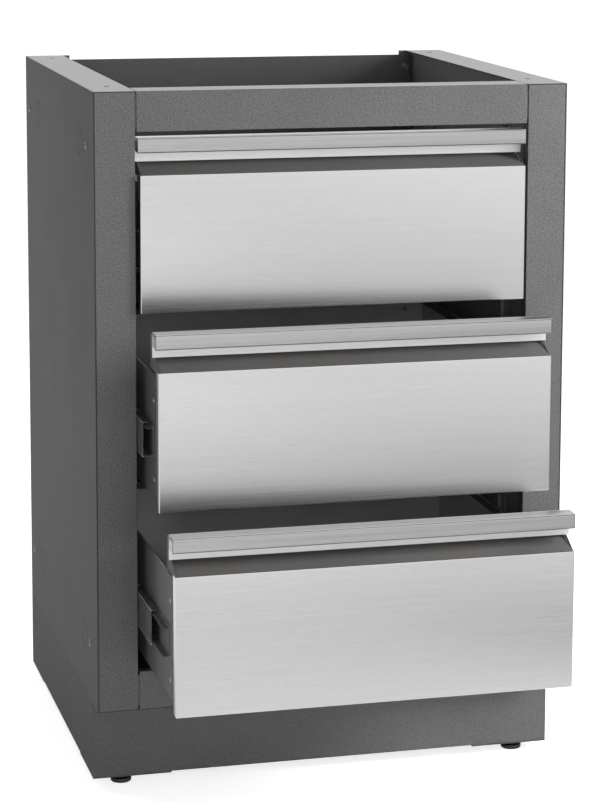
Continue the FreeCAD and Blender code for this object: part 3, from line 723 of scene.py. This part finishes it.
def make_seam_shade():
    """Painted shade: dark strips where the carcass is folded, where it stands on its plinth, round
    its knock-outs.
    """
    near, deep = CARCASS_FRONT - FRONT_PROUD, CARCASS_FRONT + FRONT_SINK
    folded, top = SIDE_X - FOLD_WIDTH, CARCASS_TOP - TOP_LINE_HIGH
    lines = [
        prism(rectangle((folded, near), (SIDE_X + FOLD_PROUD, CARCASS_FRONT + FOLD_DEPTH)),
              "z", CARCASS_FOOT, top),
        prism(rectangle((near, CARCASS_TOP - TOP_LINE_LOW), (deep, top)),
              "x", STILE_INSIDE, folded),
        prism(rectangle((SIDE_FOOT_START, CARCASS_FOOT - SIDE_FOOT_HALF),
                        (SIDE_FOOT_END, CARCASS_FOOT + SIDE_FOOT_HALF)),
              "x", SIDE_X - SIDE_FOOT_SINK, SIDE_X + SIDE_FOOT_PROUD),
        prism(rectangle((near, CARCASS_FOOT + FRONT_FOOT_LOW),
                        (deep, CARCASS_FOOT + FRONT_FOOT_HIGH)), "x", 0.0, folded),
    ]
    # Painted shade along the folds and the foot.
    make("fold_painted_shade", "chassis", "seam_shadow", both(lines))
    rings = []
    for y in KNOCKOUT_ROWS:
        for z in LEVELS:
            for quarter in range(4):
                angles = [math.radians(90.0 * quarter + SLOT_START + SLOT_STEP * step)
                          for step in range(SLOT_STEPS + 1)]
                arc = [(y + radius * math.cos(angle), z + radius * math.sin(angle))
                       for radius, turn in ((SLOT_OUTSIDE, angles), (SLOT_INSIDE, angles[::-1]))
                       for angle in turn]
                rings.append(prism(arc, "x", SIDE_X - SLOT_SINK, SIDE_X + SLOT_PROUD))
    # Painted shade in the knock-out slots.
    make("knockout_painted_shade", "chassis", "seam_shadow", both(rings))


def make_pieces():
    for drawer in FRONTS:
        make_handle(drawer)
        make_panel(drawer)
        make_pocket(drawer)
        make_tray_rim(drawer)
        make_slides(drawer)
    make_fasteners()
    make_feet()
    make_seam_shade()


# Light: a pale floor, a soft sky that differs from side to side, and soft lamps.

SKY = {"base": 0.12, "right": 0.05, "back": 0.05, "gloss": 0.98, "gloss_left": -1.0}
FLOOR_HALF = 40.0
FLOOR_COLOUR = (0.8, 0.8, 0.8, 1.0)

# How bright the camera sees the floor near the unit and far from it, and between which distances.
FLOOR_SEEN, FLOOR_SEEN_BETWEEN = (0.76, 1.0), (0.8, 3.5)

# How bright a mirror sees it, near the dim spot and far from it: a glow that is painted reflection
# in the steel, darker near the spot.
FLOOR_GLOW, FLOOR_GLOW_BETWEEN = (0.06, 0.74), (0.7, 2.7)
DIM_SPOT = (1.0, -0.7, 0.0)

# Each lamp's place, what it points at, its width and height in metres, and its power in watts.
LAMP_SPREAD = 110.0
LAMPS = {
    "key": ((0.9, -3.8, 2.4), (0.0, -0.1, 0.5), (2.0, 2.0), 8.5),
    "overhead": ((0.3, 0.2, 3.4), (0.0, 0.1, 0.8), (2.6, 2.6), 2.0),
    "fill": ((-0.8, -3.6, 1.2), (0.0, -0.1, 0.5), (0.5, 0.5), 8.0),
    "beside": ((1.35, -0.9, 1.1), (0.2, -0.17, 0.7), (0.4, 0.8), 18.0),
    "low": ((-0.4, -3.4, 0.5), (0.0, -0.3, 0.4), (1.2, 0.6), 8.0),
    "rear": ((-1.15, 0.7, 0.95), (-0.3, 0.1, 0.5), (0.1, 0.6), 1.7),
    "behind": ((1.0, 3.4, 1.9), (0.0, 0.2, 0.5), (2.2, 2.2), 26.0),
}


def mirror_rays(tree, path):
    return combine(tree, "MAXIMUM", path.outputs["Is Glossy Ray"],
                   path.outputs["Is Transmission Ray"])


def make_floor():
    """A white floor that keeps the object's shadow, with a glow that mirrors alone see as painted
    reflection.
    """
    corners = [(x, y, 0) for x, y in rectangle((-FLOOR_HALF, -FLOOR_HALF),
                                               (FLOOR_HALF, FLOOR_HALF))]
    mesh = bpy.data.meshes.new("floor")
    mesh.from_pydata(corners, [], [(0, 1, 2, 3)])
    floor = bpy.data.objects.new("floor", mesh)
    bpy.context.scene.collection.objects.link(floor)
    made = bpy.data.materials.new("pale_floor")
    made.use_nodes = True
    tree = made.node_tree
    tree.nodes.clear()
    path = add(tree, "ShaderNodeLightPath")
    place = add(tree, "ShaderNodeTexCoord")
    far = add(tree, "ShaderNodeVectorMath", operation="LENGTH")
    tree.links.new(place.outputs["Object"], far.inputs[0])
    seen = ramp(tree, far.outputs["Value"], *FLOOR_SEEN, *FLOOR_SEEN_BETWEEN)
    seen = combine(tree, "MULTIPLY", seen, path.outputs["Is Camera Ray"])
    away = add(tree, "ShaderNodeVectorMath", {1: DIM_SPOT}, operation="DISTANCE")
    tree.links.new(place.outputs["Object"], away.inputs[0])
    # Painted reflection: a glow that only mirrors see, dim near the spot.
    reflected = ramp(tree, away.outputs["Value"], *FLOOR_GLOW, *FLOOR_GLOW_BETWEEN)
    reflected = combine(tree, "MULTIPLY", reflected, mirror_rays(tree, path))
    glow = add(tree, "ShaderNodeEmission", {"Color": WHITE})
    tree.links.new(combine(tree, "ADD", seen, reflected), glow.inputs["Strength"])
    plain = add(tree, "ShaderNodeBsdfDiffuse", {"Color": FLOOR_COLOUR})
    total = add(tree, "ShaderNodeAddShader")
    out = add(tree, "ShaderNodeOutputMaterial")
    tree.links.new(plain.outputs[0], total.inputs[0])
    tree.links.new(glow.outputs[0], total.inputs[1])
    tree.links.new(total.outputs[0], out.inputs["Surface"])
    mesh.materials.append(made)


def make_sky():
    """White to the camera; to other rays a soft studio, brighter on some sides than on others."""
    world = bpy.data.worlds.new("sky")
    bpy.context.scene.world = world
    world.use_nodes = True
    tree = world.node_tree
    tree.nodes.clear()
    path = add(tree, "ShaderNodeLightPath")
    way = separate(tree, add(tree, "ShaderNodeTexCoord").outputs["Generated"])
    lobes = {}
    for side, axis, sign in (("left", "X", -1.0), ("right", "X", 1.0), ("back", "Y", 1.0)):
        lobes[side] = combine(tree, "MAXIMUM", combine(tree, "MULTIPLY", way[axis], sign), 0.0)
    gloss = combine(tree, "MULTIPLY", lobes["left"], SKY["gloss_left"])
    gloss = combine(tree, "ADD", gloss, SKY["gloss"])
    total = combine(tree, "MULTIPLY", gloss, mirror_rays(tree, path))
    total = combine(tree, "ADD", total, SKY["base"])
    for side in ("right", "back"):
        total = combine(tree, "ADD", total, combine(tree, "MULTIPLY", lobes[side], SKY[side]))
    soft = add(tree, "ShaderNodeBackground", {"Color": WHITE})
    white = add(tree, "ShaderNodeBackground", {"Color": WHITE, "Strength": 1.0})
    tree.links.new(total, soft.inputs["Strength"])
    chosen = add(tree, "ShaderNodeMixShader")
    tree.links.new(path.outputs["Is Camera Ray"], chosen.inputs["Fac"])
    tree.links.new(soft.outputs[0], chosen.inputs[1])
    tree.links.new(white.outputs[0], chosen.inputs[2])
    out = add(tree, "ShaderNodeOutputWorld")
    tree.links.new(chosen.outputs[0], out.inputs["Surface"])


def make_lamp(name, place, target, size, power):
    data = bpy.data.lights.new(name, "AREA")
    data.shape = "RECTANGLE"
    data.size, data.size_y = size
    data.energy = power
    data.spread = math.radians(LAMP_SPREAD)
    lamp = bpy.data.objects.new(name, data)
    turn = (Vector(target) - Vector(place)).to_track_quat("-Z", "Y")
    lamp.matrix_world = Matrix.Translation(place) @ turn.to_matrix().to_4x4()
    lamp.visible_glossy = False
    bpy.context.scene.collection.objects.link(lamp)


def make_light():
    bpy.context.scene.view_settings.view_transform = "Standard"
    make_sky()
    make_floor()
    for name, settings in LAMPS.items():
        make_lamp(name, *settings)


make_camera()
finish_nodes()
make_pieces()
make_light()
